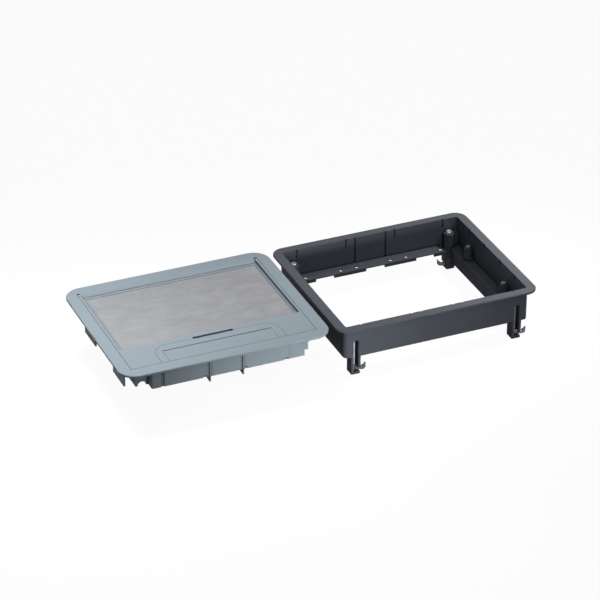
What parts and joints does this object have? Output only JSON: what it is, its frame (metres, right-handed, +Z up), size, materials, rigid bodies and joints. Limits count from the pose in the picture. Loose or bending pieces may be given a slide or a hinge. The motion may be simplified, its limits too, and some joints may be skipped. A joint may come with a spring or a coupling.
{
  "type": "floor socket box",
  "caption": "Floor socket box set: a grey cover with hinged lid and cable flap beside a black mounting frame with swing-out claws.",
  "frame": {"origin": "centre of the floor cut-out that the mounting frame fills, on the floor surface, which is the underside of the frame's flange", "axes": "+X from the cover unit to the mounting frame, along the long sides; +Y to the back, where the lid is hinged; +Z up out of the floor"},
  "size_m": [0.609, 0.25, 0.079],
  "materials": {
    "black_plastic": "matt",
    "grey_plastic": "satin",
    "sheet_steel": "matt",
    "zinc_steel": "satin",
    "dark_steel": "satin",
    "foam": "matt"
  },
  "bodies": {
    "units": {"mounting_frame": "black_plastic", "trim_frame": "grey_plastic", "lid_seal": "foam", "lid_hinge_pin_left": "zinc_steel", "lid_hinge_pin_right": "zinc_steel", "cover_screw_left_a": "zinc_steel", "cover_screw_left_b": "zinc_steel", "cover_screw_right_a": "zinc_steel", "cover_screw_right_b": "zinc_steel"},
    "lid": {"lid_tray": "grey_plastic", "steel_plate": "sheet_steel", "outlet_surround": "grey_plastic"},
    "flap": {"cable_flap": "grey_plastic", "flap_foam": "foam"},
    "claw_front_left": {"claw_front_left": "dark_steel"},
    "screw_front_left": {"claw_screw_front_left": "zinc_steel"},
    "claw_front_right": {"claw_front_right": "dark_steel"},
    "screw_front_right": {"claw_screw_front_right": "zinc_steel"},
    "claw_back_left": {"claw_back_left": "dark_steel"},
    "screw_back_left": {"claw_screw_back_left": "zinc_steel"},
    "claw_back_right": {"claw_back_right": "dark_steel"},
    "screw_back_right": {"claw_screw_back_right": "zinc_steel"}
  },
  "joints": [
    {"name": "lid_hinge", "type": "hinge", "parent": "units", "child": "lid", "pos_m": [-0.309, 0.1058, 0.0035], "axis": [-1, 0, 0], "range_deg": [0, 100]},
    {"name": "flap_hinge", "type": "hinge", "parent": "lid", "child": "flap", "pos_m": [-0.309, -0.0788, 0.0045], "axis": [-1, 0, 0], "range_deg": [0, 90]},
    {"name": "claw_swing_front_left", "type": "hinge", "parent": "units", "child": "claw_front_left", "pos_m": [-0.1215, -0.105, -0.064], "axis": [0, 0, -1], "range_deg": [-16, 74]},
    {"name": "screw_turn_front_left", "type": "hinge", "parent": "units", "child": "screw_front_left", "pos_m": [-0.1215, -0.105, -0.064], "axis": [0, 0, -1], "continuous": true},
    {"name": "claw_swing_front_right", "type": "hinge", "parent": "units", "child": "claw_front_right", "pos_m": [0.1215, -0.105, -0.064], "axis": [0, 0, -1], "range_deg": [-16, 74]},
    {"name": "screw_turn_front_right", "type": "hinge", "parent": "units", "child": "screw_front_right", "pos_m": [0.1215, -0.105, -0.064], "axis": [0, 0, -1], "continuous": true},
    {"name": "claw_swing_back_left", "type": "hinge", "parent": "units", "child": "claw_back_left", "pos_m": [-0.1215, 0.105, -0.064], "axis": [0, 0, -1], "range_deg": [-16, 74]},
    {"name": "screw_turn_back_left", "type": "hinge", "parent": "units", "child": "screw_back_left", "pos_m": [-0.1215, 0.105, -0.064], "axis": [0, 0, -1], "continuous": true},
    {"name": "claw_swing_back_right", "type": "hinge", "parent": "units", "child": "claw_back_right", "pos_m": [0.1215, 0.105, -0.064], "axis": [0, 0, -1], "range_deg": [-16, 74]},
    {"name": "screw_turn_back_right", "type": "hinge", "parent": "units", "child": "screw_back_right", "pos_m": [0.1215, 0.105, -0.064], "axis": [0, 0, -1], "continuous": true}
  ]
}
